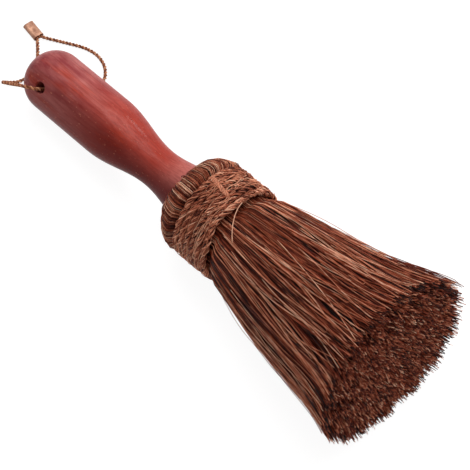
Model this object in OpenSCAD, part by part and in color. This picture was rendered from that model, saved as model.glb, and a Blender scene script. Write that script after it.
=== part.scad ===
// Palm brush: a turned wooden handle, a bundle of palm fibre gripped round its
// tang, a skirt of folded fibre tufts bound on with rope, and a hanging cord.
// The brush lies on its barrel and on the rim of its fan. +X runs along it from
// the handle to the bristles, +Z is up, and z = 0 is the surface it lies on.

/* [Handle] */
// Diameter of the barrel that the hand holds
barrel_d = 33; // [28:0.5:38]
// Radius of the round at the handle's free end
end_round = 15; // [12:0.5:16]
// Where the barrel starts to narrow, from the free end
barrel_len = 56; // [46:1:62]
// Where the neck is thinnest, from the free end
neck_x = 95; // [88:1:100]
// Diameter of the neck at its thinnest
neck_d = 21.6; // [19:0.2:24]
// Diameter of the handle's shoulder, and of the fibre bundle behind it
shoulder_d = 28.8; // [27:0.2:29]

/* [Cord hole] */
// Diameter of the cross hole
hole_d = 6; // [5:0.5:8]
// Distance of the hole from the free end
hole_x = 19.5; // [16:0.5:26]
// Bevel at both mouths of the hole
hole_bevel = 0.6; // [0.2:0.1:1]

/* [Tang] */
// Diameter of the tang inside the bundle
tang_d = 17; // [14:0.5:18]
// Length of the tang past the shoulder
tang_len = 30; // [24:1:34]
// Depth of the groove round the tang
groove_depth = 1.5; // [0.5:0.1:2.5]
// Width of the groove round the tang
groove_w = 10; // [6:1:14]

/* [Fibre head] */
// Where the folded fibres close on the neck, from the free end
collar_x = 117.5; // [114:0.5:120]
// Diameter of the folded shoulder at its fullest
collar_d = 52.4; // [50:0.2:56]
// Length of the bound head, from the fold to the loose bristles
head_len = 44.5; // [44:0.5:52]
// Distance of the bristle tips from the free end
tip_x = 259; // [238:1:278]
// Diameter of the fan at its tips
fan_d = 94; // [84:1:100]
// How much shorter the outer bristles are than the middle ones
crown = 2; // [0:0.5:6]
// Spread of the bristle lengths
ragged = 4; // [0:0.5:6]
// Share of the fan's half height that lies pressed flat underneath
press = 0.077; // [0.04:0.001:0.1]

/* [Bristles] */
// Thickness of a lock of fibre where it leaves the bundle
lock_root_d = 2; // [1.6:0.1:2.1]
// Thickness of a lock of fibre at its tip
lock_tip_d = 3; // [2.2:0.1:3.1]
// Distance between neighbouring locks where they leave the bundle
lock_pitch = 2.25; // [2.25:0.05:2.6]

/* [Binding] */
// Thickness of the rope
rope_d = 3.7; // [3:0.1:4]
// Turns of the rope
rope_turns = 6; // [4:1:6]
// Distance from one turn of the rope to the next
rope_pitch = 3.8; // [3.8:0.1:4.2]
// Where the bed of the rope starts, past the fold
rope_in = 13; // [12.5:0.5:14]
// Diameter of the bed that the rope lies in
bed_d = 44.8; // [42:0.2:46]
// Width of the hidden binding over the tang
inner_w = 10; // [8:1:12]
// Thickness of the hidden binding
inner_t = 1.2; // [0.8:0.1:1.6]

/* [Hanging cord] */
// Thickness of the cord
cord_d = 2; // [1.6:0.1:2.2]
// Length of the ferrule that joins the cord's two ends
ferrule_len = 10; // [8:0.5:14]
// Width of the flattened ferrule
ferrule_w = 6; // [5.8:0.1:7]
// Height of the flattened ferrule
ferrule_h = 3.4; // [3.2:0.1:4]
// Wall of the ferrule
ferrule_wall = 0.4; // [0.3:0.05:0.4]

/* [Hidden] */
$fn = 96;

// Gap between soft pieces that lie against each other
gap = 0.3;
// Tufts round the skirt
tufts = 8;
// Elevation of the hole's upper mouth, from the side of the barrel
hole_roll = 40;

barrel_r = barrel_d / 2;
neck_r = neck_d / 2;
shoulder_r = shoulder_d / 2;
hole_r = hole_d / 2;
tang_r = tang_d / 2;
collar_r = collar_d / 2;
core_r = shoulder_r;
fan_r = fan_d / 2;
bed_r = bed_d / 2;
rope_r = rope_d / 2;

front_x = collar_x + head_len;
rope_x = collar_x + rope_in;
// The handle goes this far into the folded fibres before its tang starts.
shoulder_x = collar_x + 6;
tang_end_x = shoulder_x + tang_len;
groove_x = shoulder_x + tang_len / 2;
// A gap of air stays round and behind the tang's end.
core_x = shoulder_x + gap;
// The fibres are pressed to the skirt's inner wall outside the core.
skirt_in_r = core_r + gap;
bed_len = rope_turns * rope_pitch + rope_d + 2 * gap;
bed_end_x = rope_x + bed_len;

// The brush leans from its rounded handle end to the rim of the fan. What lies
// pressed flat there is a little lower than the rim, and is cut by the surface.
cut_depth = 0.5;
rim_x = tip_x - crown;
rim_drop = fan_r * (1 - press) - cut_depth;
end_in = barrel_r - end_round;
lean_x = rim_x - end_round;
lean_z = rim_drop - end_in;
tilt = atan2(lean_z, lean_x) - asin(end_round / norm([lean_x, lean_z]));
axis_z = end_in * cos(tilt) + end_round - end_round * sin(tilt);
// Ends of what the brush covers along X, whose middle is the origin
near_x = end_round * cos(tilt) - end_in * sin(tilt) - end_round;
far_x = (rim_x + ragged / 2) * cos(tilt) + rim_drop * sin(tilt);
mid_x = (near_x + far_x) / 2;

// A point of the brush's own straight frame, put where the brush lies.
function lay(p) = [
    p.x * cos(tilt) - p.z * sin(tilt) - mid_x,
    p.y,
    p.x * sin(tilt) + p.z * cos(tilt) + axis_z
];

// A solid turned about the brush's axis, put where the brush lies.
module lay_turned() {
    translate([-mid_x, 0, axis_z])
        rotate([0, -tilt, 0])
            rotate([0, 90, 0])
                children();
}

// A smooth rise from 0 to 1.
function ease(t) = (1 - cos(180 * t)) / 2;

// A fixed scatter between -0.5 and 0.5 for each pair of whole numbers.
function scatter(a, b) =
    let(v = sin(a * 127.1 + b * 311.7) * 437.585)
    v - floor(v) - 0.5;

// Radius of the handle between its rounded end and its shoulder.
function handle_r(x) =
    x < barrel_len ? barrel_r
    : x < neck_x ? barrel_r + (neck_r - barrel_r) * ease((x - barrel_len) / (neck_x - barrel_len))
    : neck_r + (shoulder_r - neck_r) * ease((x - neck_x) / (shoulder_x - neck_x));

// Outline of the turned handle, as radius and distance from its free end.
end_steps = 12;
neck_step = 3;
end_outline = [for (i = [0:end_steps])
    let(a = 90 * i / end_steps)
    [end_in + end_round * sin(a), end_round * (1 - cos(a))]];
neck_outline = [for (x = [barrel_len:neck_step:shoulder_x - neck_step / 2]) [handle_r(x), x]];
tang_outline = [
    [shoulder_r, shoulder_x],
    [tang_r, shoulder_x],
    [tang_r, groove_x - groove_w / 2],
    [tang_r - groove_depth, groove_x - groove_w / 2 + groove_depth],
    [tang_r - groove_depth, groove_x + groove_w / 2 - groove_depth],
    [tang_r, groove_x + groove_w / 2],
    [tang_r, tang_end_x - groove_depth],
    [tang_r - groove_depth, tang_end_x]
];

// The hole's tool is turned in one piece, with a cone at each mouth.
mouth_depth = barrel_r - hole_bevel;
mouth_reach = barrel_r + 2;
hole_outline = [
    [0, -mouth_reach],
    [hole_r + mouth_reach - mouth_depth, -mouth_reach],
    [hole_r, -mouth_depth],
    [hole_r, mouth_depth],
    [hole_r + mouth_reach - mouth_depth, mouth_reach],
    [0, mouth_reach]
];

module cord_hole() {
    translate([0, 0, hole_x])
        rotate([90, 0, -hole_roll])
            rotate_extrude()
                polygon(hole_outline);
}

module handle() {
    color("#8a3a2c")
        lay_turned()
            difference() {
                rotate_extrude()
                    polygon(concat([[0, 0]], end_outline, neck_outline, tang_outline, [[0, tang_end_x]]));
                cord_hole();
            }
}

// Waist of the core, which the hidden binding fills flush.
waist_r = core_r - inner_t;
core_outline = [
    [tang_r + gap, core_x],
    [core_r - 1, core_x],
    [core_r, core_x + 1],
    [core_r, groove_x - inner_w / 2],
    [waist_r, groove_x - inner_w / 2],
    [waist_r, groove_x + inner_w / 2],
    [core_r, groove_x + inner_w / 2],
    [core_r, front_x],
    [0, front_x],
    [0, tang_end_x + gap],
    [tang_r + gap, tang_end_x + gap]
];

// Locks of fibre: each has a root inside its backing, a bend and a tip.
root_depth = 3;
root_x = front_x - root_depth;
bend_x = front_x + 50;
bend_d = (lock_root_d + lock_tip_d) / 2;
// Radius of the outermost row of locks, at the root, at the bend and at the tip
outer_root_r = collar_r - lock_root_d;
outer_bend_r = 0.775 * fan_r;
outer_tip_r = fan_r - lock_tip_d / 2;
bend_scatter = 0.3;
tip_scatter = 0.7;

// Below this share of the fan's radius the bristles are pressed together.
press_from = 0.77;
function pressed(z, r) =
    z > -press_from * r ? z
    : -press_from * r + (z + press_from * r) * (1 - press - press_from) / (1 - press_from);

// Three corners of a lock about its middle, which lies at radius rho and angle a.
function lock_ring(x, rho, a, d, turn, side, side_r, flat) = [for (k = [0:2])
    let(
        b = turn + 120 * k,
        y = rho * cos(a) + side + d / 2 * cos(b),
        z = rho * sin(a) + side_r + d / 2 * sin(b),
        p = lay([x, y, flat > 0 ? pressed(z, flat) : z])
    )
    [p.x, p.y, max(p.z, 0)]];

// All nine points of a lock whose root lies at radius rho and angle a.
function lock_points(rho, a, seed) =
    let(
        share = rho / outer_root_r,
        turn = 360 * scatter(seed, 1),
        end_x = tip_x - crown * share * share + ragged * scatter(seed, 2)
    )
    concat(
        lock_ring(root_x, rho, a, lock_root_d, turn, 0, 0, 0),
        lock_ring(bend_x, share * outer_bend_r, a, bend_d, turn,
            bend_scatter * scatter(seed, 3), bend_scatter * scatter(seed, 4), outer_bend_r),
        lock_ring(end_x, share * outer_tip_r, a, lock_tip_d, turn,
            tip_scatter * scatter(seed, 5), tip_scatter * scatter(seed, 6), fan_r)
    );

lock_faces = concat(
    [[0, 1, 2], [8, 7, 6]],
    [for (r = [0, 3], k = [0:2])
        let(n = (k + 1) % 3)
        each [[r + k, r + 3 + k, r + n], [r + n, r + 3 + k, r + 3 + n]]]
);

module lock(rho, a, seed) {
    polyhedron(points = lock_points(rho, a, seed), faces = lock_faces);
}

// The core's locks stand in rings of six more each.
core_rings = 5;
core_ring_step = (core_r - lock_root_d * 0.75) / core_rings;

module core_bundle() {
    color("#6e4030")
        union() {
            lay_turned()
                rotate_extrude()
                    polygon(core_outline);
            lock(0, 0, 900);
            for (ring = [1:core_rings], i = [0:6 * ring - 1])
                lock(ring * core_ring_step, 60 * i / ring + 11 * ring, 900 + 40 * ring + i);
        }
}

module inner_binding() {
    color("#b89468")
        lay_turned()
            translate([0, 0, groove_x - inner_w / 2 + gap / 2])
                difference() {
                    cylinder(r = core_r, h = inner_w - gap);
                    translate([0, 0, -1])
                        cylinder(r = waist_r + gap / 2, h = inner_w + 2);
                }
}

// Outline of the folded skirt. Its fold starts a little nearer or farther on each tuft.
function skirt_outline(fold) = [
    [skirt_in_r, collar_x + fold + 1],
    [shoulder_r + 2, collar_x + fold],
    [collar_r - 7, collar_x + fold + 1.5],
    [collar_r - 3, collar_x + fold + 4.5],
    [collar_r - 0.8, collar_x + fold + 7.5],
    [collar_r, collar_x + 10],
    [collar_r - 0.5, rope_x - 1.5],
    [bed_r, rope_x],
    [bed_r, bed_end_x],
    [collar_r - 1.5, bed_end_x + 2],
    [collar_r, front_x],
    [skirt_in_r, front_x]
];

skirt_rows = 5;
inner_root_r = skirt_in_r + lock_root_d / 2 + 0.2;
row_step = (outer_root_r - inner_root_r) / (skirt_rows - 1);
tuft_angle = 360 / tufts;
// The tufts stand this many degrees apart.
tuft_gap = 0.8;
fold_scatter = 3;

module skirt_tuft(number) {
    from = number * tuft_angle - tuft_angle / 2;
    width = tuft_angle - tuft_gap;
    color(number % 2 == 0 ? "#7b4a36" : "#6b3f2e")
        union() {
            lay_turned()
                rotate([0, 0, from])
                    rotate_extrude(angle = width)
                        polygon(skirt_outline(fold_scatter * scatter(number, 7)));
            for (row = [0:skirt_rows - 1]) {
                rho = inner_root_r + row * row_step;
                count = floor(rho * width * PI / 180 / lock_pitch);
                for (i = [0:count - 1])
                    lock(rho, from + width * (i + 0.5) / count - 90, 100 * number + 12 * row + i);
            }
        }
}

// The rope round the skirt: one tube of six sides, with 24 rings to a turn. Flat
// sides face the next turn.
rope_sides = 6;
rope_rings = 24;
rope_path_r = bed_r + gap + rope_r;
rope_start_x = rope_x + gap + rope_r;

// One ring of the rope about a middle at height x, turned by angle a. shift moves it
// straight on along the rope.
function rope_ring(x, a, shift) = [for (k = [0:rope_sides - 1])
    let(b = 360 * k / rope_sides)
    lay([
        x + rope_r * sin(b),
        (rope_path_r + rope_r * cos(b)) * cos(a) - shift * sin(a),
        (rope_path_r + rope_r * cos(b)) * sin(a) + shift * cos(a)
    ])];

rope_loops = [for (i = [0:rope_turns * rope_rings])
    rope_ring(rope_start_x + rope_pitch * i / rope_rings, 360 * i / rope_rings, 0)];
// Both ends run on straight for one diameter.
rope_ends = [
    rope_ring(rope_start_x, 0, -rope_d),
    rope_ring(rope_start_x + rope_turns * rope_pitch, 0, rope_d)
];
rope_points = concat([rope_ends[0]], rope_loops, [rope_ends[1]]);

// Least distance from any point of the rope to the points of the turn beside it
rope_least_gap = min([for (i = [0:(rope_turns - 1) * rope_rings], p = rope_loops[i], q = rope_loops[i + rope_rings])
    norm(p - q)]);
echo(rope_least_gap = rope_least_gap);

// Faces of a closed tube of rings, as triangles.
function tube_faces(rings, sides) = concat(
    [for (k = [1:sides - 2]) [0, k, k + 1]],
    [for (k = [1:sides - 2])
        let(last = (rings - 1) * sides)
        [last, last + k + 1, last + k]],
    [for (i = [0:rings - 2], k = [0:sides - 1])
        let(a = i * sides + k, b = i * sides + (k + 1) % sides)
        each [[a, a + sides, b], [b, a + sides, b + sides]]]
);

function flat_list(lists) = [for (l = lists) each l];

module outer_binding() {
    color("#a87a58")
        polyhedron(points = flat_list(rope_points), faces = tube_faces(len(rope_points), rope_sides));
}

// Route of the cord's middle, from one end in the ferrule to the other. It runs along
// the surface to a bend off the handle's end, climbs over the rounded end to the
// hole, and comes down behind the barrel to the surface again.
cord_route = [
    [-156.3, 17.6, 1.7],
    [-152.1, 17.3, 1.7],
    [-148.8, 15.2, 1.5],
    [-143.9, 11.0, 1.1],
    [-140.2, 7.3, 1.1],
    [-137.9, 3.6, 1.1],
    [-136.7, -0.5, 1.1],
    [-136.7, -4.6, 1.1],
    [-137.9, -8.3, 1.1],
    [-139.8, -11.2, 1.4],
    [-140.7, -13.6, 3.1],
    [-140.3, -15.5, 5.6],
    [-138.5, -16.5, 8.5],
    [-135.3, -16.8, 11.7],
    [-130.6, -16.8, 15.9],
    [-126.3, -17.1, 20.3],
    [-122.8, -17.4, 23.9],
    [-119.6, -17.0, 26.0],
    [-116.6, -15.9, 26.9],
    [-114.1, -13.9, 26.4],
    [-112.7, -10.9, 24.6],
    [-111.6, -6.6, 21.5],
    [-110.5, -1.1, 17.8],
    [-109.8, 4.3, 14.1],
    [-109.3, 9.6, 9.9],
    [-108.5, 14.1, 6.5],
    [-107.4, 18.6, 3.9],
    [-107.1, 22.4, 2.1],
    [-107.9, 25.7, 1.2],
    [-110.2, 28.5, 1.1],
    [-113.6, 31.0, 1.1],
    [-117.7, 32.5, 1.1],
    [-122.0, 33.0, 1.1],
    [-126.6, 32.3, 1.1],
    [-131.3, 30.6, 1.1],
    [-136.4, 27.8, 1.1],
    [-142.6, 24.2, 1.1],
    [-148.6, 20.5, 1.5],
    [-151.9, 19.2, 1.7],
    [-155.9, 19.7, 1.7]
];

cord_sides = 8;
cord_parts = 2;

// A smooth curve through four points, at share t between the middle two.
function curve(a, b, c, d, t) =
    (2 * b + (c - a) * t + (2 * a - 5 * b + 4 * c - d) * t * t + (3 * b - a - 3 * c + d) * t * t * t) / 2;

function smooth(route, parts) =
    let(last = len(route) - 1)
    concat(
        [for (i = [0:last - 1], j = [0:parts - 1])
            curve(route[max(i - 1, 0)], route[i], route[i + 1], route[min(i + 2, last)], j / parts)],
        [route[last]]
    );

function unit(v) = v / norm(v);

// Direction of a path at each of its points.
function headings(path) =
    let(last = len(path) - 1)
    [for (i = [0:last]) unit(path[min(i + 1, last)] - path[max(i - 1, 0)])];

// A direction square to the path, carried along it without twisting.
function carried(heads, side, i) =
    i == len(heads) ? []
    : let(next = unit(side - (side * heads[i]) * heads[i]))
    concat([next], carried(heads, next, i + 1));

function tube_points(path, r, sides) =
    let(heads = headings(path), across = carried(heads, [0, 0, 1], 0))
    [for (i = [0:len(path) - 1], k = [0:sides - 1])
        let(b = 360 * (k + 0.5) / sides)
        path[i] + r * (cos(b) * across[i] + sin(b) * cross(heads[i], across[i]))];

cord_path = smooth(cord_route, cord_parts);
cord_length = sum_of([for (i = [1:len(cord_path) - 1]) norm(cord_path[i] - cord_path[i - 1])]);
function sum_of(list) = list * [for (v = list) 1];
echo(cord_length = cord_length, cord_rings = len(cord_path));

module hanging_cord() {
    color("#b98a63")
        polyhedron(
            points = tube_points(cord_path, cord_d / 2, cord_sides),
            faces = tube_faces(len(cord_path), cord_sides)
        );
}

// The flattened ferrule lies on the surface, round both ends of the cord.
ferrule_mouth = [-151.3, 18.2];
ferrule_turn = 173;

module flat_tube(w, h, len) {
    rotate([90, 0, 90])
        linear_extrude(height = len)
            union() {
                square([w - h, h], center = true);
                for (side = [-1, 1])
                    translate([side * (w - h) / 2, 0])
                        circle(d = h);
            }
}

module ferrule() {
    color("#b0805c")
        translate([ferrule_mouth.x, ferrule_mouth.y, ferrule_h / 2])
            rotate([0, 0, ferrule_turn])
                difference() {
                    flat_tube(ferrule_w, ferrule_h, ferrule_len);
                    translate([-1, 0, 0])
                        flat_tube(ferrule_w - 2 * ferrule_wall, ferrule_h - 2 * ferrule_wall, ferrule_len + 2);
                }
}

handle();
core_bundle();
inner_binding();
skirt_tuft(1);  // skirt_tuft_1
skirt_tuft(2);  // skirt_tuft_2
skirt_tuft(3);  // skirt_tuft_3
skirt_tuft(4);  // skirt_tuft_4
skirt_tuft(5);  // skirt_tuft_5
skirt_tuft(6);  // skirt_tuft_6
skirt_tuft(7);  // skirt_tuft_7
skirt_tuft(8);  // skirt_tuft_8
outer_binding();
hanging_cord();
ferrule();
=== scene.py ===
"""Palm brush, dressed: a lacquered wooden handle, a head of palm fibres folded round its
neck, the fibre rope that binds them, and a twisted hanging cord closed by a ferrule.

The brush is worked out in its own straight frame, in millimetres: x runs along its axis
from the handle's free end, and a point there lies at a radius and an angle about the
axis. BrushFrame puts such points where the brush lies, in metres. Where many strands are
placed at once, arrays run strands by rings, and a column holds one value for each strand.
"""

import logging
import math
from dataclasses import dataclass, field
from enum import Enum

import bpy
import numpy as np
from mathutils import Matrix, Vector


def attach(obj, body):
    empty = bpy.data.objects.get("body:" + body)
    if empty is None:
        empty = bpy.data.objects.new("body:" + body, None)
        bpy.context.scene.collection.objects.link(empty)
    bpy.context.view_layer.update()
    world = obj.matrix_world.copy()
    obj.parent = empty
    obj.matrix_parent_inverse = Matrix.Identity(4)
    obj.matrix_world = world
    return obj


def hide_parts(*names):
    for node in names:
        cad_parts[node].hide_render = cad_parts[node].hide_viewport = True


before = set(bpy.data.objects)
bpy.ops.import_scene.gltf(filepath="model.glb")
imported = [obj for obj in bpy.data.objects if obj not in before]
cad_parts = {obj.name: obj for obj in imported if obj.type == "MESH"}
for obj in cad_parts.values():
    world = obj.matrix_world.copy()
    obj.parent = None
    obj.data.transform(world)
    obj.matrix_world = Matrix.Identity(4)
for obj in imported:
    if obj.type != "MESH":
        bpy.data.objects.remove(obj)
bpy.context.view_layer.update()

MM = 0.001
FULL_TURN = 2 * math.pi
BODY = "root"
TONE = "tone"
ALONG = np.array([1.0, 0.0, 0.0])
UPRIGHT = np.array([0.0, 0.0, 1.0])

Colour = tuple[float, float, float, float]
Point = tuple[float, float, float]
Span = tuple[float, float]
Values = np.ndarray | float
Socket = bpy.types.NodeSocket

WHITE: Colour = (1.0, 1.0, 1.0, 1.0)

log = logging.getLogger("palm_brush")


class Slot(Enum):
    """Material slots of the record."""

    WOOD = "lacquered_wood"
    FIBRE = "palm_fibre"
    BINDING = "binding_cord"
    ROPE = "fibre_rope"
    CORD = "twisted_cord"
    FERRULE = "copper_ferrule"


class Join(Enum):
    """Ways to join two values, with Blender's words for them."""

    SUM = "ADD"
    PRODUCT = "MULTIPLY"
    GREATER = "MAXIMUM"


def srgb(red: int, green: int, blue: int) -> Colour:
    """Linear colour of an 8-bit screen colour.

    Args:
        red: Red from 0 to 255.
        green: Green from 0 to 255.
        blue: Blue from 0 to 255.

    Returns:
        The linear colour with full opacity.
    """
    shares = (red / 255, green / 255, blue / 255)
    linear = [s / 12.92 if s <= 0.04045 else ((s + 0.055) / 1.055) ** 2.4 for s in shares]
    return (*linear, 1.0)


def unit(vectors: np.ndarray) -> np.ndarray:
    """Vectors of the same directions and of length 1."""
    return vectors / np.linalg.norm(vectors, axis=-1, keepdims=True)


def ease(share: np.ndarray) -> np.ndarray:
    """A smooth rise from 0 to 1, flat outside that range."""
    kept = np.clip(share, 0.0, 1.0)
    return kept * kept * (3.0 - 2.0 * kept)


def ends(share: np.ndarray, parts: float) -> np.ndarray:
    """A mask of a strand's two ends, which is 1 at each tip and soon falls to 0.

    Args:
        share: How far along the strand each point lies, from 0 to 1.
        parts: Number of equal parts of which only the first and the last are an end.

    Returns:
        The mask at each point.
    """
    return (1 - ease(share * parts)) + ease(share * parts - (parts - 1))


def smooth_path(points: np.ndarray, parts: int) -> np.ndarray:
    """A smooth curve through points, each stretch cut into parts.

    Args:
        points: Points to pass through, one a row.
        parts: Number of pieces between two points.

    Returns:
        The points along the curve.
    """
    padded = np.vstack([points[:1], points, points[-1:]])
    a, b, c, d = (padded[i : len(padded) - 3 + i, None] for i in range(4))
    t = (np.arange(parts) / parts)[None, :, None]
    curve = 2 * b + (c - a) * t + (2 * a - 5 * b + 4 * c - d) * t**2 + (3 * b - a - 3 * c + d) * t**3
    return np.vstack([curve.reshape(-1, points.shape[1]) / 2, points[-1:]])


def lengths_along(path: np.ndarray) -> np.ndarray:
    """Distance of each point of a path from its start, measured along it."""
    return np.concatenate([[0.0], np.cumsum(np.linalg.norm(np.diff(path, axis=0), axis=1))])


def carried_sides(ahead: np.ndarray) -> np.ndarray:
    """Directions across a path that follow its bends without a twist of their own.

    Args:
        ahead: Direction of the path at each point.

    Returns:
        The direction across it at each point, upright at its start.
    """
    sides = np.zeros_like(ahead)
    side = UPRIGHT
    for i, heading in enumerate(ahead):
        side = side - side.dot(heading) * heading
        side /= np.linalg.norm(side)
        sides[i] = side
    return sides


@dataclass(frozen=True)
class BrushFrame:
    """Sizes that say how the brush lies, in millimetres.

    It leans from its rounded handle end to the rim of the fan.
    """

    barrel_r: float = 16.5
    end_round: float = 15.0
    tip_x: float = 259.0
    crown: float = 2.0
    ragged: float = 4.0
    fan_r: float = 47.0
    press: float = 0.077
    press_start: float = 0.77
    cut_depth: float = 0.5

    @property
    def rim_x(self) -> float:
        """Distance of the fan's rim from the free end."""
        return self.tip_x - self.crown

    @property
    def rim_drop(self) -> float:
        """Depth of the pressed rim below the axis."""
        return self.fan_r * (1 - self.press) - self.cut_depth

    @property
    def end_in(self) -> float:
        """Radius at which the handle's end starts to round."""
        return self.barrel_r - self.end_round

    @property
    def tilt(self) -> float:
        """Slope of the axis, in radians."""
        run = self.rim_x - self.end_round
        drop = self.rim_drop - self.end_in
        return math.atan2(drop, run) - math.asin(self.end_round / math.hypot(run, drop))

    @property
    def axis_z(self) -> float:
        """Height of the axis over the floor at the free end."""
        return self.end_in * math.cos(self.tilt) + self.end_round * (1 - math.sin(self.tilt))

    @property
    def mid_x(self) -> float:
        """Middle of what the brush covers along X."""
        near = self.end_round * (math.cos(self.tilt) - 1) - self.end_in * math.sin(self.tilt)
        far = (self.rim_x + self.ragged / 2) * math.cos(self.tilt) + self.rim_drop * math.sin(self.tilt)
        return (near + far) / 2

    def lay(self, x: Values, y: Values, z: Values) -> np.ndarray:
        """Puts points of the straight frame where the brush lies.

        Args:
            x: Distances along the axis in millimetres.
            y: Offsets to the side in millimetres.
            z: Offsets over the axis in millimetres.

        Returns:
            The points in metres, with the last axis for X, Y and Z.
        """
        cos_t, sin_t = math.cos(self.tilt), math.sin(self.tilt)
        laid = (x * cos_t - z * sin_t - self.mid_x, y, x * sin_t + z * cos_t + self.axis_z)
        return np.stack(np.broadcast_arrays(*laid), axis=-1) * MM

    def lay_round(self, x: Values, radius: Values, angle: np.ndarray) -> np.ndarray:
        """Puts points at a radius and an angle about the axis where the brush lies."""
        return self.lay(x, radius * np.cos(angle), radius * np.sin(angle))

    def turn(self, vectors: np.ndarray) -> np.ndarray:
        """Turns directions of the straight frame to where the brush lies.

        Args:
            vectors: Directions, with the last axis for x, y and z.

        Returns:
            The turned directions.
        """
        cos_t, sin_t = math.cos(self.tilt), math.sin(self.tilt)
        x, y, z = vectors[..., 0], vectors[..., 1], vectors[..., 2]
        return np.stack([x * cos_t - z * sin_t, y, x * sin_t + z * cos_t], axis=-1)

    def pressed(self, z: np.ndarray, radius: np.ndarray) -> np.ndarray:
        """Heights over the axis once the underside of the fan is pressed flat.

        Args:
            z: Heights in a round fan.
            radius: Radius of the fan at each of them.

        Returns:
            The heights, drawn up below a share of the radius.
        """
        start = self.press_start
        squeezed = -start * radius + (z + start * radius) * (1 - self.press - start) / (1 - start)
        return np.where(z > -start * radius, z, squeezed)


@dataclass
class StrandMesh:
    """Many closed thin tubes gathered into one mesh."""

    sides: int = 3
    points: list[np.ndarray] = field(default_factory=list)
    faces: list[np.ndarray] = field(default_factory=list)
    caps: list[np.ndarray] = field(default_factory=list)
    tones: list[np.ndarray] = field(default_factory=list)
    total: int = 0

    def add(
        self, centres: np.ndarray, radii: Values, across: np.ndarray, tones: Values, turns: Values = 0.0
    ) -> None:
        """Adds one tube or several of equal ring counts.

        Args:
            centres: Middle of each ring in metres, as rings by 3 or strands by rings by 3.
            radii: Radius at each ring in metres.
            across: A direction across each ring.
            tones: Shade of each ring, from 0 for dark to 1 for pale.
            turns: Turn of each strand about itself, in radians.
        """
        centres = centres.reshape(-1, *centres.shape[-2:])
        strands, rings = centres.shape[:2]
        across = np.broadcast_to(across, centres.shape)
        radii = np.broadcast_to(radii, (strands, rings))
        ahead = unit(np.gradient(centres, axis=1))
        side = unit(across - (across * ahead).sum(-1, keepdims=True) * ahead)
        over = np.cross(ahead, side)
        corner = FULL_TURN * np.arange(self.sides) / self.sides
        angle = np.broadcast_to(turns, strands)[:, None, None, None] + corner[None, None, :, None]
        out = np.cos(angle) * side[:, :, None] + np.sin(angle) * over[:, :, None]
        shell = centres[:, :, None] + radii[:, :, None, None] * out
        first = self.total + (np.arange(strands) * rings * self.sides)[:, None, None]
        ring = first + (np.arange(rings - 1) * self.sides)[None, :, None]
        here = np.arange(self.sides)[None, None, :]
        after = (here + 1) % self.sides
        further = ring + self.sides
        quads = np.stack([ring + here, ring + after, further + after, further + here], axis=-1)
        starts = first[:, 0] + np.arange(self.sides)[None, ::-1]
        ends = first[:, 0] + (rings - 1) * self.sides + np.arange(self.sides)[None, :]
        self.points.append(shell.reshape(-1, 3))
        self.faces.append(quads.reshape(-1, 4))
        self.caps.append(np.vstack([starts, ends]))
        self.tones.append(np.repeat(np.broadcast_to(tones, (strands, rings)).reshape(-1), self.sides))
        self.total += strands * rings * self.sides

    def build(self, name: str, node: str) -> bpy.types.Object:
        """Makes the object that holds all strands and takes a CAD node's place.

        Args:
            name: Name of the piece.
            node: Node that the piece replaces.

        Returns:
            The object, with each point's shade in its tone attribute.
        """
        points = np.vstack(self.points).astype(np.float32)
        quads = np.vstack(self.faces)
        caps = np.vstack(self.caps)
        corners = np.concatenate([quads.ravel(), caps.ravel()]).astype(np.int32)
        cap_starts = len(quads) * 4 + np.arange(len(caps)) * self.sides
        starts = np.concatenate([np.arange(len(quads)) * 4, cap_starts]).astype(np.int32)
        mesh = bpy.data.meshes.new(name)
        mesh.vertices.add(len(points))
        mesh.vertices.foreach_set("co", points.ravel())
        mesh.loops.add(len(corners))
        mesh.loops.foreach_set("vertex_index", corners)
        mesh.polygons.add(len(starts))
        mesh.polygons.foreach_set("loop_start", starts)
        mesh.update(calc_edges=True)
        mesh.polygons.foreach_set("use_smooth", np.ones(len(starts), bool))
        tone = mesh.attributes.new(TONE, "FLOAT", "POINT")
        tone.data.foreach_set("value", np.concatenate(self.tones).astype(np.float32))
        piece = bpy.data.objects.new(name, mesh)
        bpy.context.scene.collection.objects.link(piece)
        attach(piece, BODY)
        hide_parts(node)
        return piece


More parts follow.
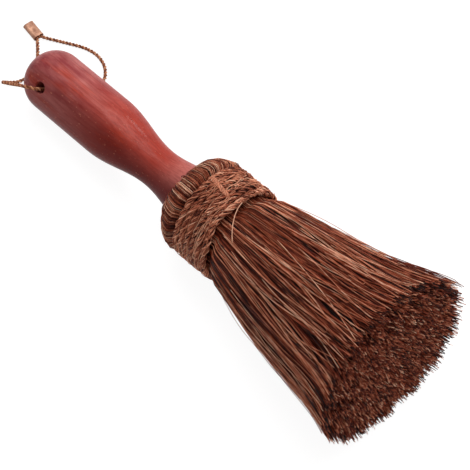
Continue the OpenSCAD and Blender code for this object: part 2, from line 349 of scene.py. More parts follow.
class NodeSheet:
    """The nodes of a material, a world or a group."""

    def __init__(self, owner: bpy.types.ID) -> None:
        """Opens a node tree and empties it.

        Args:
            owner: The material, the world or the group itself.
        """
        if not isinstance(owner, bpy.types.NodeTree):
            owner.use_nodes = True
            owner = owner.node_tree
        self.tree = owner
        self.tree.nodes.clear()

    def plug(self, socket: Socket, value: object) -> None:
        """Links an output socket to an input, or writes a plain value there.

        Args:
            socket: The input.
            value: The output socket or the value.
        """
        if isinstance(value, Socket):
            self.tree.links.new(value, socket)
        else:
            socket.default_value = value

    def add(self, kind: str, inputs: dict | None = None, **settings: object) -> bpy.types.Node:
        """Adds a node.

        Args:
            kind: Blender's name of the node.
            inputs: Values or output sockets for its inputs, by name or number.
            **settings: Values of the node's own properties.

        Returns:
            The node.
        """
        node = self.tree.nodes.new(kind)
        for word, value in settings.items():
            setattr(node, word, value)
        for key, value in (inputs or {}).items():
            self.plug(node.inputs[key], value)
        return node

    def join(self, way: Join, first: Socket, second: Socket | float) -> Socket:
        """Joins two values."""
        return self.add("ShaderNodeMath", {0: first, 1: second}, operation=way.value).outputs["Value"]

    def fit(self, value: Socket, source: tuple, target: Span = (0.0, 1.0), smooth: bool = False) -> Socket:
        """Turns one span of values into another and keeps the result inside it.

        Args:
            value: Socket of the value.
            source: The two values at which the result starts and ends.
            target: The result at these two values.
            smooth: Whether the result starts and ends gently.

        Returns:
            The socket of the result.
        """
        way = "SMOOTHSTEP" if smooth else "LINEAR"
        ends = dict(zip(("From Min", "From Max", "To Min", "To Max"), (*source, *target)))
        node = self.add("ShaderNodeMapRange", {"Value": value, **ends}, interpolation_type=way)
        return node.outputs["Result"]

    def rise(self, value: Socket, start: float, end: float, top: float) -> Socket:
        """A mask that rises gently from 0 at one value to its top at another."""
        return self.fit(value, (start, end), (0.0, top), smooth=True)

    def mix(self, share: Socket, first: Socket | Colour, second: Socket | Colour) -> Socket:
        """Mixes a share of the second colour into the first."""
        return self.add("ShaderNodeMix", {0: share, 6: first, 7: second}, data_type="RGBA").outputs[2]

    def ramp(self, share: Socket, stops: dict[float, Colour]) -> Socket:
        """Colours along a share from 0 to 1.

        Args:
            share: Socket that gives the share.
            stops: Colour at each share.

        Returns:
            The colour socket.
        """
        node = self.add("ShaderNodeValToRGB", {"Fac": share})
        elements = node.color_ramp.elements
        places = sorted(stops)
        elements[0].position, elements[0].color = places[0], stops[places[0]]
        elements[1].position, elements[1].color = places[-1], stops[places[-1]]
        for place in places[1:-1]:
            elements.new(place).color = stops[place]
        return node.outputs["Color"]

    def along(self, brush: BrushFrame, size: Point = (MM, MM, MM)) -> Socket:
        """Coordinates about the brush's own axis, in units of a feature's size.

        Args:
            brush: How the brush lies.
            size: Size of a feature along the axis, to the side and upwards, in metres.

        Returns:
            The vector socket.
        """
        inputs = {
            "Vector": self.add("ShaderNodeTexCoord").outputs["Object"],
            "Location": (-brush.mid_x * MM, 0.0, brush.axis_z * MM),
            "Rotation": (0.0, -brush.tilt, 0.0),
            "Scale": size,
        }
        return self.add("ShaderNodeMapping", inputs, vector_type="TEXTURE").outputs["Vector"]

    def streaks(self, vector: Socket, low: float, high: float, scale: float = 1.0) -> Socket:
        """Places the streak group.

        Args:
            vector: Coordinates, already stretched along the streaks.
            low: Noise value at which the mask is 0.
            high: Noise value at which the mask is 1.
            scale: Scale of the noise.

        Returns:
            The mask socket.
        """
        inputs = {"Vector": vector, "Scale": scale, "Low": low, "High": high}
        return self.add("ShaderNodeGroup", inputs, node_tree=streak_group()).outputs["Mask"]

    def bump(self, height: Socket, depth: float) -> Socket:
        """Normals of a fine relief, in which a height of 1 stands for depth metres."""
        inputs = {"Height": height, "Distance": depth, "Strength": 1.0}
        return self.add("ShaderNodeBump", inputs).outputs["Normal"]

    def seen_plainly(self) -> Socket:
        """Tells what the camera sees, straight or in metal or glass, from all other rays.

        Returns:
            A socket that is 1 for what is seen and 0 for the rest.
        """
        rays = self.add("ShaderNodeLightPath").outputs
        mirrored = self.join(Join.GREATER, rays["Is Camera Ray"], rays["Is Glossy Ray"])
        return self.join(Join.GREATER, mirrored, rays["Is Transmission Ray"])


class Surface(NodeSheet):
    """The nodes of a material that ends in a Principled shader."""

    def __init__(self, name: str) -> None:
        """Makes a material whose tree holds only its shader and output.

        Args:
            name: Name of the material.
        """
        self.material = bpy.data.materials.new(name)
        super().__init__(self.material)
        self.shader = self.add("ShaderNodeBsdfPrincipled")
        self.add("ShaderNodeOutputMaterial", {"Surface": self.shader.outputs["BSDF"]})

    def set(self, **values: object) -> None:
        """Sets the shader's inputs. A word's underscores stand for spaces."""
        for word, value in values.items():
            self.plug(self.shader.inputs[word.replace("_", " ")], value)


def streak_group() -> bpy.types.NodeTree:
    """Makes the group of streaks that grain, pores and fibres share, or finds it again.

    Returns:
        A group that takes a vector, a scale and the two noise values between which the
        mask rises from 0 to 1, and gives that mask.
    """
    name = "streaks"
    if name in bpy.data.node_groups:
        return bpy.data.node_groups[name]
    group = bpy.data.node_groups.new(name, "ShaderNodeTree")
    group.interface.new_socket("Vector", in_out="INPUT", socket_type="NodeSocketVector")
    for word in ("Scale", "Low", "High"):
        group.interface.new_socket(word, in_out="INPUT", socket_type="NodeSocketFloat")
    group.interface.new_socket("Mask", in_out="OUTPUT", socket_type="NodeSocketFloat")
    sheet = NodeSheet(group)
    entry = sheet.add("NodeGroupInput").outputs
    inputs = {"Vector": entry["Vector"], "Scale": entry["Scale"], "Detail": 4.0}
    noise = sheet.add("ShaderNodeTexNoise", inputs).outputs["Fac"]
    sheet.add("NodeGroupOutput", {"Mask": sheet.fit(noise, (entry["Low"], entry["High"]))})
    return group


@dataclass(frozen=True)
class LacqueredWood:
    """Red-brown stained wood under a worn satin lacquer, with painted shade on its lower side and far edge
    and a painted sheen in its pale rose. Sizes are in metres.
    """

    brush: BrushFrame
    # Pale rose stain, made paler still as a painted sheen; it shows most at the free end.
    rose_and_sheen: Colour = srgb(204, 122, 116)
    # Plum is a real stain colour and also the colour of the painted shade on the far edge.
    plum_stain_and_shade: Colour = srgb(140, 58, 60)
    maroon: Colour = srgb(112, 20, 14)
    amber: Colour = srgb(178, 60, 38)
    pore: Colour = srgb(222, 142, 112)
    vein: Colour = srgb(96, 24, 22)
    # Colour of the painted shade on the handle's lower side.
    shade: Colour = srgb(86, 8, 6)
    dust: Colour = srgb(208, 140, 132)
    stain_size: Point = (0.07, 0.012, 0.012)
    mottle_size: Point = (0.011, 0.0035, 0.0035)
    mottle_share: float = 0.35
    grain_size: Point = (0.018, 0.0009, 0.0009)
    grain_depth: float = 0.00006
    dash_size: Point = (0.0026, 0.0005, 0.0005)

    def material(self) -> bpy.types.Material:
        """Lays the stains, the grain and the painted shade over each other, from broad to fine.

        Returns:
            The material.
        """
        sheet = Surface("lacquered wood")
        broad = sheet.along(self.brush, self.stain_size)
        stain = sheet.streaks(broad, 0.42, 0.58)
        mottle = sheet.streaks(sheet.along(self.brush, self.mottle_size), 0.38, 0.62)
        patches = sheet.add("ShaderNodeMix", {0: self.mottle_share, 2: stain, 3: mottle})
        place = sheet.add("ShaderNodeSeparateXYZ", {"Vector": sheet.along(self.brush)}).outputs
        # Painted shade: the lower side darkens, more so towards the neck.
        painted_shade_low_side = sheet.rise(place["Y"], start=-1.0, end=-12.0, top=0.95)
        shade_toward_neck = sheet.fit(place["X"], (5.0, 95.0), (0.5, 1.0))
        grain = sheet.streaks(sheet.along(self.brush, self.grain_size), 0.42, 0.66)
        dashes = sheet.streaks(sheet.along(self.brush, self.dash_size), 0.67, 0.73)
        layers = (
            (self.amber, sheet.streaks(broad, 0.52, 0.72, scale=1.7)),
            (self.maroon, sheet.rise(place["X"], start=30.0, end=112.0, top=0.35)),
            (self.amber, sheet.rise(place["X"], start=25.0, end=70.0, top=0.6)),
            (self.dust, sheet.rise(place["X"], start=96.0, end=117.0, top=0.4)),
            # Painted shade on the lower side, strongest at the neck.
            (self.shade, sheet.join(Join.PRODUCT, painted_shade_low_side, shade_toward_neck)),
            # Painted shade: the far side, from 7 to 15 mm towards +Y, darkens towards plum.
            (self.plum_stain_and_shade, sheet.rise(place["Y"], start=7.0, end=15.0, top=0.5)),
            (self.vein, sheet.join(Join.PRODUCT, grain, 0.3)),
            (self.pore, sheet.join(Join.PRODUCT, dashes, 0.6)),
        )
        # The stains mix plum and rose; the paler rose carries a painted sheen.
        colour = sheet.mix(patches.outputs[0], self.plum_stain_and_shade, self.rose_and_sheen)
        for layer, share in layers:
            colour = sheet.mix(share, colour, layer)
        sheet.set(
            Base_Color=colour,
            Roughness=sheet.fit(stain, (0.0, 1.0), (0.34, 0.46)),
            Normal=sheet.bump(grain, self.grain_depth),
            Specular_IOR_Level=0.02,
            Coat_Weight=0.15,
            Coat_Roughness=0.16,
        )
        return sheet.material


@dataclass(frozen=True)
class PalmFibre:
    """Dry brown palm fibre, each strand of its own shade. Sizes are in metres."""

    name: str
    brush: BrushFrame
    darkest: Colour = srgb(20, 1, 0)
    dark: Colour = srgb(96, 31, 14)
    middle: Colour = srgb(156, 73, 46)
    pale: Colour = srgb(208, 130, 98)
    palest: Colour = srgb(244, 194, 162)
    roughness: float = 0.5
    blotch_size: Point = (0.006, 0.0016, 0.0016)
    blotch_reach: float = 0.12
    ridge_size: Point = (0.003, 0.00015, 0.00015)
    ridge_depth: float = 0.00002

    def material(self) -> bpy.types.Material:
        """Colours the fibres by their tone attribute, blotched a little.

        Returns:
            The material.
        """
        sheet = Surface(self.name)
        tone = sheet.add("ShaderNodeAttribute", attribute_name=TONE).outputs["Fac"]
        blotches = sheet.streaks(sheet.along(self.brush, self.blotch_size), 0.3, 0.7)
        varied = sheet.fit(blotches, (0.0, 1.0), (-self.blotch_reach, self.blotch_reach))
        ridges = sheet.streaks(sheet.along(self.brush, self.ridge_size), 0.3, 0.7)
        stops = {0.0: self.darkest, 0.3: self.dark, 0.55: self.middle, 0.8: self.pale, 1.0: self.palest}
        sheet.set(
            Base_Color=sheet.ramp(sheet.join(Join.SUM, tone, varied), stops),
            Roughness=self.roughness,
            Specular_IOR_Level=0.15,
            Normal=sheet.bump(ridges, self.ridge_depth),
        )
        return sheet.material


@dataclass(frozen=True)
class CopperTube:
    """Dull copper-brown tube of thin metal, darker where it is handled."""

    clean: Colour = srgb(186, 136, 108)
    dull: Colour = srgb(146, 98, 76)
    patch_scale: float = 420.0
    scratch_scale: float = 2600.0
    scratch_depth: float = 0.00001

    def material(self) -> bpy.types.Material:
        """Mixes clean and dull metal in patches, with fine scratches.

        Returns:
            The material.
        """
        sheet = Surface("copper tube")
        place = sheet.add("ShaderNodeTexCoord").outputs["Object"]
        patches = sheet.streaks(place, 0.38, 0.66, self.patch_scale)
        scratches = sheet.streaks(place, 0.45, 0.6, self.scratch_scale)
        sheet.set(
            Base_Color=sheet.mix(patches, self.clean, self.dull),
            Metallic=0.3,
            Roughness=sheet.fit(patches, (0.0, 1.0), (0.36, 0.55)),
            Normal=sheet.bump(scratches, self.scratch_depth),
        )
        return sheet.material


def deselect_all() -> None:
    """Leaves no object selected and no edit mode open."""
    if bpy.context.object is not None and bpy.context.object.mode != "OBJECT":
        bpy.ops.object.mode_set(mode="OBJECT")
    bpy.ops.object.select_all(action="DESELECT")


@dataclass(frozen=True)
class Lamp:
    """A soft lamp that faces the brush. Lengths are in metres and power is in watts."""

    name: str
    toward: Point
    reach: float
    width: float
    height: float
    power: float


@dataclass
class Studio:
    """Camera, lamps, world and floor. Lengths are in metres and angles in degrees."""

    azimuth: float = 46.5
    elevation: float = 60.0
    distance: float = 1.2
    target: Point = (0.0151, 0.0030, 0.020)
    lens: float = 186.1
    sensor: float = 36.0
    clip: Span = (0.05, 20.0)
    world_light: float = 0.42
    floor_size: float = 8.0
    floor_colour: Colour = (0.8, 0.8, 0.8, 1.0)
    shown_colour: Colour = (0.2, 0.2, 0.2, 1.0)
    shown_glow: float = 0.91
    lamps: tuple[Lamp, ...] = (
        Lamp("strip behind", (0.07, 0.79, 0.61), reach=1.3, width=1.1, height=0.28, power=8.5),
        Lamp("key above", (-0.3, 0.2, 0.9), reach=1.4, width=0.9, height=0.9, power=8.5),
        Lamp("fill in front", (0.8, -0.75, 0.5), reach=1.5, width=0.8, height=0.5, power=0.8),
    )

    def camera(self) -> None:
        """Makes the camera at the photograph's viewing angle."""
        data = bpy.data.cameras.new("camera")
        data.lens, data.sensor_width = self.lens, self.sensor
        data.clip_start, data.clip_end = self.clip
        a, e = math.radians(self.azimuth), math.radians(self.elevation)
        back = Vector((math.sin(a) * math.cos(e), -math.cos(a) * math.cos(e), math.sin(e)))
        camera = bpy.data.objects.new("camera", data)
        camera.location = Vector(self.target) + back * self.distance
        camera.rotation_euler = (-back).to_track_quat("-Z", "Y").to_euler()
        bpy.context.scene.collection.objects.link(camera)
        bpy.context.scene.camera = camera

    def hang(self, lamp: Lamp) -> None:
        """Hangs a lamp at its place, turned to the brush.

        Args:
            lamp: The lamp's sizes, place and power.
        """
        data = bpy.data.lights.new(lamp.name, "AREA")
        data.shape, data.size, data.size_y, data.energy = "RECTANGLE", lamp.width, lamp.height, lamp.power
        away = Vector(lamp.toward).normalized()
        light = bpy.data.objects.new(lamp.name, data)
        light.location = Vector(self.target) + away * lamp.reach
        light.rotation_euler = away.to_track_quat("Z", "Y").to_euler()
        bpy.context.scene.collection.objects.link(light)

    def sky(self) -> None:
        """Makes the world a soft white light that the camera sees as plain white."""
        world = bpy.data.worlds.new("soft white")
        bpy.context.scene.world = world
        sheet = NodeSheet(world)
        strength = sheet.fit(sheet.seen_plainly(), (0.0, 1.0), (self.world_light, 1.0))
        light = sheet.add("ShaderNodeBackground", {"Color": WHITE, "Strength": strength})
        sheet.add("ShaderNodeOutputWorld", {"Surface": light.outputs["Background"]})

    def floor(self) -> None:
        """Lays a pale floor that keeps a soft shadow and looks white to the camera."""
        deselect_all()
        bpy.ops.mesh.primitive_plane_add(size=self.floor_size)
        floor = bpy.context.object
        floor.name = "floor"
        material = bpy.data.materials.new("pale floor")
        sheet = NodeSheet(material)
        lit = sheet.add("ShaderNodeBsdfDiffuse", {"Color": self.floor_colour}).outputs[0]
        faint = sheet.add("ShaderNodeBsdfDiffuse", {"Color": self.shown_colour}).outputs[0]
        glow = sheet.add("ShaderNodeEmission", {"Color": WHITE, "Strength": self.shown_glow}).outputs[0]
        shown = sheet.add("ShaderNodeAddShader", {0: faint, 1: glow}).outputs[0]
        both = sheet.add("ShaderNodeMixShader", {0: sheet.seen_plainly(), 1: lit, 2: shown}).outputs[0]
        sheet.add("ShaderNodeOutputMaterial", {"Surface": both})
        floor.data.materials.append(material)

    def build(self) -> None:
        """Sets up everything that isn't part of the brush."""
        bpy.context.scene.view_settings.view_transform = "Standard"
        self.camera()
        self.sky()
        self.floor()
        for lamp in self.lamps:
            self.hang(lamp)


@dataclass
class HangingCord:
    """A limp cord of two plies through the handle's hole, its ends in a ferrule.

    Sizes are in millimetres, apart from the length, which is in metres. The route is given
    where the brush lies.
    """

    seed: int = 7
    length: float = 0.1836
    diameter: float = 2.0
    declared_parts: int = 2
    fine_parts: int = 12
    ring_step: float = 0.3
    ply_pitch: float = 3.6
    ply_offset: float = 0.5
    ply_r: float = 0.52
    ply_tones: Span = (0.6, 0.36)
    yarns: int = 5
    yarn_pitch: float = 2.6
    yarn_offset: float = 0.36
    yarn_r: float = 0.2
    yarn_tones: Span = (0.74, 0.46)
    route: tuple[Point, ...] = (
        (-156.3, 17.6, 1.7), (-152.1, 17.3, 1.7), (-148.8, 15.2, 1.5), (-143.9, 11.0, 1.1),
        (-140.2, 7.3, 1.1), (-137.9, 3.6, 1.1), (-136.7, -0.5, 1.1), (-136.7, -4.6, 1.1),
        (-137.9, -8.3, 1.1), (-139.8, -11.2, 1.4), (-140.7, -13.6, 3.1), (-140.3, -15.5, 5.6),
        (-138.5, -16.5, 8.5), (-135.3, -16.8, 11.7), (-130.6, -16.8, 15.9), (-126.3, -17.1, 20.3),
        (-122.8, -17.4, 23.9), (-119.6, -17.0, 26.0), (-116.6, -15.9, 26.9), (-114.1, -13.9, 26.4),
        (-112.7, -10.9, 24.6), (-111.6, -6.6, 21.5), (-110.5, -1.1, 17.8), (-109.8, 4.3, 14.1),
        (-109.3, 9.6, 9.9), (-108.5, 14.1, 6.5), (-107.4, 18.6, 3.9), (-107.1, 22.4, 2.1),
        (-107.9, 25.7, 1.2), (-110.2, 28.5, 1.1), (-113.6, 31.0, 1.1), (-117.7, 32.5, 1.1),
        (-122.0, 33.0, 1.1), (-126.6, 32.3, 1.1), (-131.3, 30.6, 1.1), (-136.4, 27.8, 1.1),
        (-142.6, 24.2, 1.1), (-148.6, 20.5, 1.5), (-151.9, 19.2, 1.7), (-155.9, 19.7, 1.7),
    )

    def path(self, parts: int) -> np.ndarray:
        """Points of the cord's middle in millimetres, each stretch cut into parts."""
        return smooth_path(np.array(self.route), parts)

    def build(self, ferrule: bpy.types.Object) -> bpy.types.Object:
        """Args:
            ferrule: Piece that holds the cord's two ends, which is not used.

        Returns:
            The cord.
        """
        rough = self.path(self.fine_parts)
        run = lengths_along(rough)
        along = np.linspace(0.0, run[-1], int(run[-1] / self.ring_step))
        middle = np.stack([np.interp(along, run, rough[:, axis]) for axis in range(3)], axis=-1)
        ahead = unit(np.gradient(middle, axis=0))
        side = carried_sides(ahead)
        over = np.cross(ahead, side)
        strands = StrandMesh(sides=4)
        rng = np.random.default_rng(self.seed)
        for ply in range(2):
            wind = FULL_TURN * (along / self.ply_pitch + ply / 2)
            heart = middle + self.ply_offset * (np.cos(wind)[:, None] * side + np.sin(wind)[:, None] * over)
            strands.add(heart * MM, self.ply_r * MM, side, self.ply_tones[ply])
            for yarn in range(self.yarns):
                twist = wind - FULL_TURN * (along / self.yarn_pitch + yarn / self.yarns)
                up = self.ply_offset * np.cos(wind) + self.yarn_offset * np.cos(twist)
                out = self.ply_offset * np.sin(wind) + self.yarn_offset * np.sin(twist)
                centres = middle + up[:, None] * side + out[:, None] * over
                tone = self.yarn_tones[ply] + rng.normal(0.0, 0.06) + 0.05 * np.sin(along / 7 + yarn)
                strands.add(centres * MM, self.yarn_r * MM, side, tone)
        cord = strands.build("hanging_cord_twisted", "hanging_cord")
        path = self.path(self.declared_parts) * MM
        return cord


@dataclass
class Ferrule:
    """The flattened tube that joins the cord's two ends.

    Sizes are in millimetres. The pinch and the lip are shares of the length and height.
    """

    length: float = 10.0
    width: float = 6.0
    height: float = 3.4
    wall: float = 0.4
    edge: float = 0.1
    mouth: Span = (-151.3, 18.2)
    turn: float = math.radians(173.0)
    corners: int = 32
    cuts: int = 9
    pinch: float = 0.16
    pinch_reach: float = 0.22
    lip: float = 0.05
    lip_length: float = 0.06

    def press(self, point: Vector) -> Point:
        """Presses a point of a round tube of length and radius 1 into the ferrule's form.

        Args:
            point: The point, with the tube along X about its middle.

        Returns:
            The point in millimetres, with the tube's start at X 0.
        """
        x, y, z = point
        flat = self.height / 2
        reach = (self.width - self.height) / 2
        angle = math.atan2(z, y)
        dent = 1.0 - self.pinch * math.exp(-((x / self.pinch_reach) ** 2)) * abs(math.sin(angle))
        lip = 1.0 + self.lip * max(0.0, abs(x) - (0.5 - self.lip_length)) / self.lip_length
        aside = (flat * math.cos(angle) + reach * math.tanh(6 * math.cos(angle))) * lip
        return ((x + 0.5) * self.length, aside, flat * math.sin(angle) * dent * min(lip, 1.0))

    def build(self) -> bpy.types.Object:
        """Makes the tube from an open cylinder, pressed oval and pinched in its middle.

        Returns:
            The ferrule.
        """
        deselect_all()
        bpy.ops.mesh.primitive_cylinder_add(
            vertices=self.corners, radius=1.0, depth=1.0, end_fill_type="NOTHING",
            rotation=(0, math.pi / 2, 0),
        )
        tube = bpy.context.object
        tube.name = "ferrule_crimped"
        bpy.ops.object.transform_apply(location=True, rotation=True, scale=True)
        bpy.ops.object.mode_set(mode="EDIT")
        bpy.ops.mesh.select_all(action="SELECT")
        bpy.ops.mesh.subdivide(number_cuts=self.cuts)
        bpy.ops.object.mode_set(mode="OBJECT")
        for vertex in tube.data.vertices:
            vertex.co = self.press(vertex.co)
        bpy.ops.object.mode_set(mode="EDIT")
        bpy.ops.mesh.select_all(action="SELECT")
        bpy.ops.mesh.remove_doubles(threshold=0.001)
        bpy.ops.mesh.normals_make_consistent(inside=False)
        bpy.ops.object.mode_set(mode="OBJECT")
        place = Matrix.Translation((*self.mouth, self.height / 2)) @ Matrix.Rotation(self.turn, 4, "Z")
        tube.data.transform(Matrix.Scale(MM, 4) @ place)
        wall = tube.modifiers.new("wall", "SOLIDIFY")
        wall.thickness, wall.offset = self.wall * MM, -1.0
        bpy.ops.object.modifier_apply(modifier="wall")
        edge = tube.modifiers.new("edge", "BEVEL")
        edge.width, edge.segments, edge.limit_method = self.edge * MM, 2, "ANGLE"
        bpy.ops.object.modifier_apply(modifier="edge")
        bpy.ops.object.shade_smooth_by_angle(angle=math.radians(40))
        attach(tube, BODY)
        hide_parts("ferrule")
        return tube


@dataclass
class FibreRope:
    """The rope of twisted palm fibre round the skirt.

    Sizes are in millimetres and angles in radians.
    """

    brush: BrushFrame
    seed: int = 31
    turns: int = 6
    pitch: float = 3.8
    rope_r: float = 1.85
    ring_r: float = 24.55
    start_x: float = 132.65
    plies: int = 3
    ply_r: float = 0.85
    ply_pitch: float = 17.0
    fibres: int = 17
    fibre_r: Span = (0.18, 0.34)
    fibre_length: Span = (30.0, 110.0)
    fibre_pitch: float = 21.0
    fibre_sunk: Span = (0.1, 0.55)
    fibre_flare: float = 0.9
    fibre_tone: float = 0.6
    tone_scatter: float = 0.2
    dark_share: float = 0.2
    dark_tone: float = 0.12
    step: float = 1.8
    overhang: float = 3.0
    wander_along: float = 0.7
    wander_out: float = 0.3
    notch_angle: float = math.radians(116.0)
    notch_reach: float = 0.2
    notch_depth: float = 2.2
    heart_r: float = 1.15
    loose_count: int = 150
    tail_count: int = 26
    tail_r: float = 0.95
    tail_x: float = 131.5
    tail_length: float = 17.5
    tail_angle: float = math.radians(83.0)
    tail_slant: float = math.radians(5.5)
    tail_lift: float = 1.5
    tail_tuck: float = 2.2
    tail_twist: float = 2.4

    def __post_init__(self) -> None:
        """Starts the rope's mesh and its source of scatter."""
        self.strands = StrandMesh()
        self.rng = np.random.default_rng(self.seed)

    def wander(self, angle: np.ndarray, shift: float) -> np.ndarray:
        """A slow uneven shift round the brush, between -1 and 1."""
        waves = np.sin(angle * 1.7 + shift) + np.sin(angle * 3.1 + 2.3 * shift) + np.sin(angle * 5.3 - shift)
        return waves / 3

    def wiggle(self, along: np.ndarray, size: float) -> np.ndarray:
        """Short waves of one fibre, each time of another length."""
        return size * np.sin(along / self.rng.uniform(1.6, 4.0) + self.rng.uniform(0, 6))

    def drift(self, place: np.ndarray) -> np.ndarray:
        """How far the turns stray along the axis at each angle about it."""
        return self.wander_along * self.wander(place, 0.4)

    def centres(self, along: np.ndarray, up: Values, out: Values) -> np.ndarray:
        """Points of strands that keep offsets from the rope's middle.

        Args:
            along: Distance along the rope.
            up: Offset along the brush's axis.
            out: Offset outwards from that axis.

        Returns:
            The points in metres.
        """
        angle = along / self.ring_r
        turn = angle / FULL_TURN
        place = angle % FULL_TURN
        last = np.clip(turn - (self.turns - 2), 0.0, 1.0)
        notch = self.notch_depth * last * np.exp(-(((place - self.notch_angle) / self.notch_reach) ** 2))
        x = self.start_x + self.pitch * turn + up + self.drift(place) - notch
        radius = self.ring_r + out + self.wander_out * self.wander(angle, 1.9)
        return self.brush.lay_round(x, radius, angle)

    def fibre(self, ply: int, start: float, end: float) -> None:
        """Adds one fibre of a ply, unless it is very short.

        Args:
            ply: Number of the ply.
            start: Where the fibre starts along the rope.
            end: Where it ends.
        """
        if end - start < 4 * self.step:
            return
        rng = self.rng
        count = max(int((end - start) / self.step), 5)
        along = np.linspace(start, end, count)
        share = np.linspace(0.0, 1.0, count)
        wind = FULL_TURN * (along / self.ply_pitch + ply / self.plies)
        twist = wind + FULL_TURN * (along / self.fibre_pitch) + rng.uniform(0, FULL_TURN)
        offset = self.rope_r - self.ply_r - rng.uniform(*self.fibre_sunk)
        loose = self.wiggle(along, 0.26)
        flare = rng.uniform(0.0, self.fibre_flare) * ends(share, 14)
        up = self.ply_r * np.cos(wind) + offset * np.cos(twist) + loose
        out = self.ply_r * np.sin(wind) + offset * np.sin(twist) + flare
        out = out + self.wiggle(along, 0.22)
        radii = rng.uniform(*self.fibre_r) * (1 - 0.6 * ends(share, 20))
        dark = rng.random() < self.dark_share
        middle = self.dark_tone if dark else rng.normal(self.fibre_tone, self.tone_scatter)
        tone = np.clip(middle + 0.06 * np.sin(along / 5 + ply), 0.05, 1.0)
        points = self.centres(along, up, out)
        self.strands.add(points, radii * MM, self.brush.turn(ALONG), tone, rng.uniform(0, 6))

    def heart(self, whole: float) -> None:
        """Adds the dark middle of the rope, which the fibres hide: painted shade between them."""
        points = self.centres(np.arange(0.0, whole, 3.0), 0.0, 0.0)
        for turn in (0.0, math.pi / 3):
            # Tone 0.08: painted shade inside the rope.
            self.strands.add(points, self.heart_r * MM, self.brush.turn(ALONG), 0.08, turn)

    def lay_over(
        self, x: np.ndarray, angle: np.ndarray, radius: np.ndarray, size: float, tone: float
    ) -> None:
        """Lays one fibre over the turns.

        Args:
            x: Distances along the brush's axis.
            angle: Angles about it.
            radius: Radii about it.
            size: Radius of the fibre.
            tone: Shade of the fibre.
        """
        outward = np.stack([np.zeros_like(angle), np.cos(angle), np.sin(angle)], axis=-1)
        points = self.brush.lay_round(x, radius, angle)
        self.strands.add(points, size * MM, self.brush.turn(outward), tone)

    def tail(self) -> None:
        """Adds the rope's end, tucked across the turns."""
        share = np.linspace(0.0, 1.0, 22)
        slant = self.tail_angle + self.tail_slant * share
        rise = self.tail_lift - self.tail_tuck * ends(share, 5)
        for number in range(self.tail_count):
            wind = self.tail_twist * math.pi * share + self.tail_twist * number
            away = self.tail_r * math.sqrt((number + 0.5) / self.tail_count)
            x = self.tail_x + self.tail_length * share + away * np.cos(wind)
            angle = slant + away * np.sin(wind) / self.ring_r
            radius = self.ring_r + rise + 0.6 * away * np.cos(wind + 1.0)
            self.lay_over(x, angle, radius, self.rng.uniform(0.18, 0.3), self.rng.uniform(0.45, 0.95))

    def loose(self) -> None:
        """Adds single fibres that lie askew over the turns."""
        rng = self.rng
        share = np.linspace(0.0, 1.0, 16)
        wide = self.turns * self.pitch
        for _ in range(self.loose_count):
            start = rng.uniform(0, FULL_TURN)
            angle = start + rng.uniform(0.4, 1.1) * share
            middle = self.start_x + wide * rng.uniform(0.04, 0.96)
            slant = rng.normal(0.0, 2.2) * (share - 0.5)
            curl = rng.uniform(0.2, 0.7) * np.sin(share * rng.uniform(6, 16) + rng.uniform(0, 6))
            x = middle + slant + curl + self.drift(angle % FULL_TURN)
            lift = rng.uniform(1.2, 1.9) + 0.2 * np.sin(share * 9 + start)
            radius = self.ring_r + lift - 0.9 * ends(share, 8)
            self.lay_over(x, angle, radius, rng.uniform(0.14, 0.26), rng.uniform(0.4, 1.0))

    def pulled(self) -> None:
        """Adds the pale fibre that hangs from the band across the bristles."""
        share = np.linspace(0.0, 1.0, 18)
        x = 155.0 + 5.0 * share + 7.0 * share**2
        angle = math.radians(84.0) + math.radians(39.0) * share
        radius = 26.6 + 1.6 * share + 0.5 * np.sin(math.pi * share)
        self.lay_over(x, angle, radius, size=0.26, tone=0.95)

    def build(self) -> bpy.types.Object:
        """Makes the rope of plies, each of many short fibres.

        Returns:
            The rope.
        """
        whole = self.turns * FULL_TURN * self.ring_r
        for ply in range(self.plies):
            for _ in range(self.fibres):
                start = -self.rng.uniform(0, self.fibre_length[0])
                while start < whole:
                    length = self.rng.uniform(*self.fibre_length)
                    first = max(start, -self.overhang)
                    self.fibre(ply, first, min(start + length, whole + self.overhang))
                    start += length * self.rng.uniform(0.92, 1.0)
        self.heart(whole)
        self.tail()
        self.loose()
        self.pulled()
        return self.strands.build("outer_binding_rope", "outer_binding")


